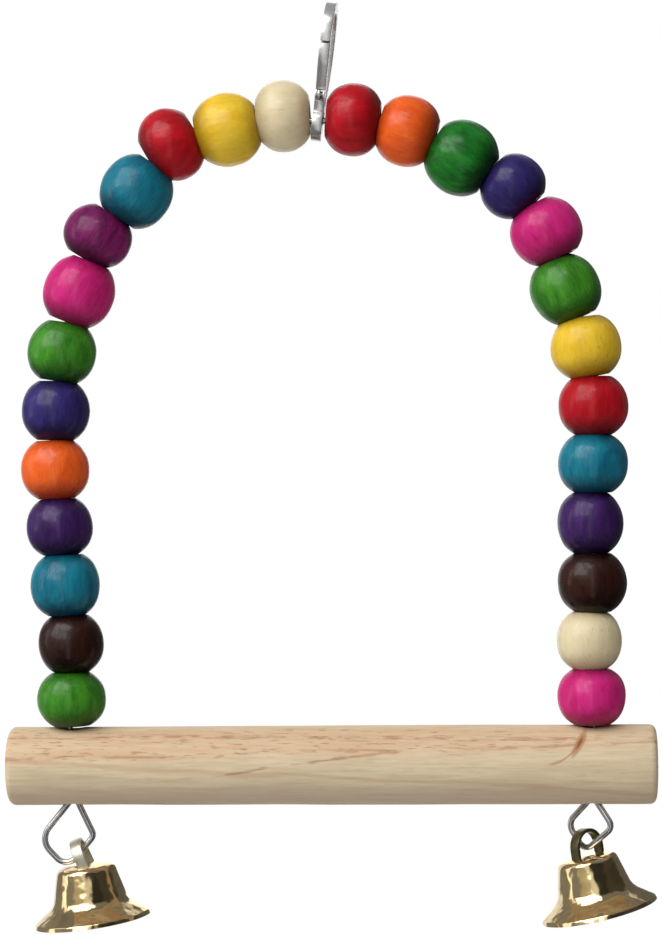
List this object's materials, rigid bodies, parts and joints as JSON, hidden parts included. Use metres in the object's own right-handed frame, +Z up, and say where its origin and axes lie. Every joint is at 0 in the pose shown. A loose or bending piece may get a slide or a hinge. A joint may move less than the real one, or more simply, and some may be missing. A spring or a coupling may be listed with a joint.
{
  "type": "bird swing",
  "caption": "Bird swing: a wooden perch on a wire arch threaded with turning wooden beads, with a sprung hanging clasp and a loose bell under each end.",
  "frame": {"origin": "middle of the clasp's top bend, where the hook or cage bar sits", "axes": "+Z up, X along the perch, +Y the far side of the view; the pictured face is -Y"},
  "size_m": [0.1185, 0.0222, 0.1696],
  "materials": {
    "clasp_steel": "polished plating",
    "spring_steel": "plain",
    "wire_steel": "bright drawn wire",
    "perch_wood": "sanded, unfinished",
    "bell_brass": "polished plating",
    "ear_steel": "bright",
    "ear_brass": "dull plating",
    "clapper_steel": "plain",
    "bead_green": "dyed and lacquered",
    "bead_brown": "dyed and lacquered",
    "bead_teal": "dyed and lacquered",
    "bead_violet": "dyed and lacquered",
    "bead_orange": "dyed and lacquered",
    "bead_indigo": "dyed and lacquered",
    "bead_pink": "dyed and lacquered",
    "bead_plum": "dyed and lacquered",
    "bead_red": "dyed and lacquered",
    "bead_yellow": "dyed and lacquered",
    "bead_natural": "lacquered",
    "bead_dark_green": "dyed and lacquered"
  },
  "bodies": {
    "clasp": {"clasp_body": "clasp_steel", "gate_pin": "clasp_steel", "gate_spring": "spring_steel"},
    "clasp_gate": {"clasp_gate": "clasp_steel"},
    "swing": {"arch_wire": "wire_steel", "perch": "perch_wood"},
    "left_bell": {"left_bell_shell": "bell_brass", "left_bell_ear": "ear_steel"},
    "left_clapper": {"left_clapper": "clapper_steel"},
    "right_bell": {"right_bell_shell": "bell_brass", "right_bell_ear": "ear_brass"},
    "right_clapper": {"right_clapper": "clapper_steel"},
    "bead_left_01": {"bead_left_01": "bead_green"},
    "bead_left_02": {"bead_left_02": "bead_brown"},
    "bead_left_03": {"bead_left_03": "bead_teal"},
    "bead_left_04": {"bead_left_04": "bead_violet"},
    "bead_left_05": {"bead_left_05": "bead_orange"},
    "bead_left_06": {"bead_left_06": "bead_indigo"},
    "bead_left_07": {"bead_left_07": "bead_green"},
    "bead_left_08": {"bead_left_08": "bead_pink"},
    "bead_left_09": {"bead_left_09": "bead_plum"},
    "bead_left_10": {"bead_left_10": "bead_teal"},
    "bead_left_11": {"bead_left_11": "bead_red"},
    "bead_left_12": {"bead_left_12": "bead_yellow"},
    "bead_left_13": {"bead_left_13": "bead_natural"},
    "bead_right_01": {"bead_right_01": "bead_pink"},
    "bead_right_02": {"bead_right_02": "bead_natural"},
    "bead_right_03": {"bead_right_03": "bead_brown"},
    "bead_right_04": {"bead_right_04": "bead_violet"},
    "bead_right_05": {"bead_right_05": "bead_teal"},
    "bead_right_06": {"bead_right_06": "bead_red"},
    "bead_right_07": {"bead_right_07": "bead_yellow"},
    "bead_right_08": {"bead_right_08": "bead_green"},
    "bead_right_09": {"bead_right_09": "bead_pink"},
    "bead_right_10": {"bead_right_10": "bead_indigo"},
    "bead_right_11": {"bead_right_11": "bead_dark_green"},
    "bead_right_12": {"bead_right_12": "bead_orange"},
    "bead_right_13": {"bead_right_13": "bead_red"}
  },
  "joints": [
    {"name": "gate_open", "type": "hinge", "parent": "clasp", "child": "clasp_gate", "pos_m": [-0.00142, -0.0024, -0.01081], "axis": [-0.9914, 0, 0.1305], "range_deg": [0, 35], "stiffness_Nm_per_rad": 0.0004, "springref_deg": -17.19},
    {"name": "swing_to_and_fro", "type": "hinge", "parent": "clasp", "child": "swing", "pos_m": [-0.002, 0, -0.0152], "axis": [1, 0, 0], "range_deg": [-70, 70]},
    {"name": "left_bell_swing", "type": "hinge", "parent": "swing", "child": "left_bell", "pos_m": [-0.04669, 0, -0.14819], "axis": [1, 0, 0], "range_deg": [-35, 35]},
    {"name": "right_bell_swing", "type": "hinge", "parent": "swing", "child": "right_bell", "pos_m": [0.04515, 0.00091, -0.14777], "axis": [0.9063, -0.4226, 0], "range_deg": [-15, 35]},
    {"name": "left_clapper_swing", "type": "hinge", "parent": "left_bell", "child": "left_clapper", "pos_m": [-0.04494, 0, -0.15294], "axis": [0, 1, 0], "range_deg": [-34, 34]},
    {"name": "right_clapper_swing", "type": "hinge", "parent": "right_bell", "child": "right_clapper", "pos_m": [0.04605, 0.00091, -0.15175], "axis": [0.7014, 0.7071, 0.0898], "range_deg": [-34, 34]},
    {"name": "spin_left_01", "type": "hinge", "parent": "swing", "child": "bead_left_01", "pos_m": [-0.04836, 0, -0.12045], "axis": [0.0349, 0, -0.9994], "continuous": true},
    {"name": "spin_left_02", "type": "hinge", "parent": "swing", "child": "bead_left_02", "pos_m": [-0.04832, 0, -0.11026], "axis": [0.0349, 0, -0.9994], "continuous": true},
    {"name": "spin_left_03", "type": "hinge", "parent": "swing", "child": "bead_left_03", "pos_m": [-0.04923, 0, -0.09952], "axis": [0.0349, 0, -0.9994], "continuous": true},
    {"name": "spin_left_04", "type": "hinge", "parent": "swing", "child": "bead_left_04", "pos_m": [-0.05024, 0, -0.08884], "axis": [0.0349, 0, -0.9994], "continuous": true},
    {"name": "spin_left_05", "type": "hinge", "parent": "swing", "child": "bead_left_05", "pos_m": [-0.05094, 0, -0.07841], "axis": [0.0349, 0, -0.9994], "continuous": true},
    {"name": "spin_left_06", "type": "hinge", "parent": "swing", "child": "bead_left_06", "pos_m": [-0.05073, 0, -0.06763], "axis": [-0.0106, 0, -0.9999], "continuous": true},
    {"name": "spin_left_07", "type": "hinge", "parent": "swing", "child": "bead_left_07", "pos_m": [-0.04949, 0, -0.0568], "axis": [-0.1737, 0, -0.9848], "continuous": true},
    {"name": "spin_left_08", "type": "hinge", "parent": "swing", "child": "bead_left_08", "pos_m": [-0.04621, 0, -0.04589], "axis": [-0.3395, 0, -0.9406], "continuous": true},
    {"name": "spin_left_09", "type": "hinge", "parent": "swing", "child": "bead_left_09", "pos_m": [-0.04272, 0, -0.0356], "axis": [-0.4871, 0, -0.8733], "continuous": true},
    {"name": "spin_left_10", "type": "hinge", "parent": "swing", "child": "bead_left_10", "pos_m": [-0.03557, 0, -0.02774], "axis": [-0.6187, 0, -0.7856], "continuous": true},
    {"name": "spin_left_11", "type": "hinge", "parent": "swing", "child": "bead_left_11", "pos_m": [-0.02908, 0, -0.01885], "axis": [-0.848, 0, -0.53], "continuous": true},
    {"name": "spin_left_12", "type": "hinge", "parent": "swing", "child": "bead_left_12", "pos_m": [-0.01851, 0, -0.01655], "axis": [-0.9907, 0, -0.1357], "continuous": true},
    {"name": "spin_left_13", "type": "hinge", "parent": "swing", "child": "bead_left_13", "pos_m": [-0.0082, 0, -0.01427], "axis": [-0.9987, 0, -0.0504], "continuous": true},
    {"name": "spin_right_01", "type": "hinge", "parent": "swing", "child": "bead_right_01", "pos_m": [0.04665, 0, -0.12039], "axis": [0, 0, -1], "continuous": true},
    {"name": "spin_right_02", "type": "hinge", "parent": "swing", "child": "bead_right_02", "pos_m": [0.04636, 0, -0.11018], "axis": [0, 0, -1], "continuous": true},
    {"name": "spin_right_03", "type": "hinge", "parent": "swing", "child": "bead_right_03", "pos_m": [0.04699, 0, -0.09971], "axis": [0, 0, -1], "continuous": true},
    {"name": "spin_right_04", "type": "hinge", "parent": "swing", "child": "bead_right_04", "pos_m": [0.0467, 0, -0.08892], "axis": [0, 0, -1], "continuous": true},
    {"name": "spin_right_05", "type": "hinge", "parent": "swing", "child": "bead_right_05", "pos_m": [0.04726, 0, -0.07823], "axis": [0, 0, -1], "continuous": true},
    {"name": "spin_right_06", "type": "hinge", "parent": "swing", "child": "bead_right_06", "pos_m": [0.04742, 0, -0.06776], "axis": [0, 0, -1], "continuous": true},
    {"name": "spin_right_07", "type": "hinge", "parent": "swing", "child": "bead_right_07", "pos_m": [0.04625, 0, -0.05708], "axis": [0.1553, 0, -0.9879], "continuous": true},
    {"name": "spin_right_08", "type": "hinge", "parent": "swing", "child": "bead_right_08", "pos_m": [0.04259, 0, -0.04666], "axis": [0.351, 0, -0.9364], "continuous": true},
    {"name": "spin_right_09", "type": "hinge", "parent": "swing", "child": "bead_right_09", "pos_m": [0.03933, 0, -0.03606], "axis": [0.5299, 0, -0.8481], "continuous": true},
    {"name": "spin_right_10", "type": "hinge", "parent": "swing", "child": "bead_right_10", "pos_m": [0.0334, 0, -0.02767], "axis": [0.6855, 0, -0.7281], "continuous": true},
    {"name": "spin_right_11", "type": "hinge", "parent": "swing", "child": "bead_right_11", "pos_m": [0.02397, 0, -0.02241], "axis": [0.8525, 0, -0.5227], "continuous": true},
    {"name": "spin_right_12", "type": "hinge", "parent": "swing", "child": "bead_right_12", "pos_m": [0.01424, 0, -0.0173], "axis": [0.9631, 0, -0.2692], "continuous": true},
    {"name": "spin_right_13", "type": "hinge", "parent": "swing", "child": "bead_right_13", "pos_m": [0.00424, 0, -0.0151], "axis": [0.9953, 0, -0.0964], "continuous": true}
  ]
}
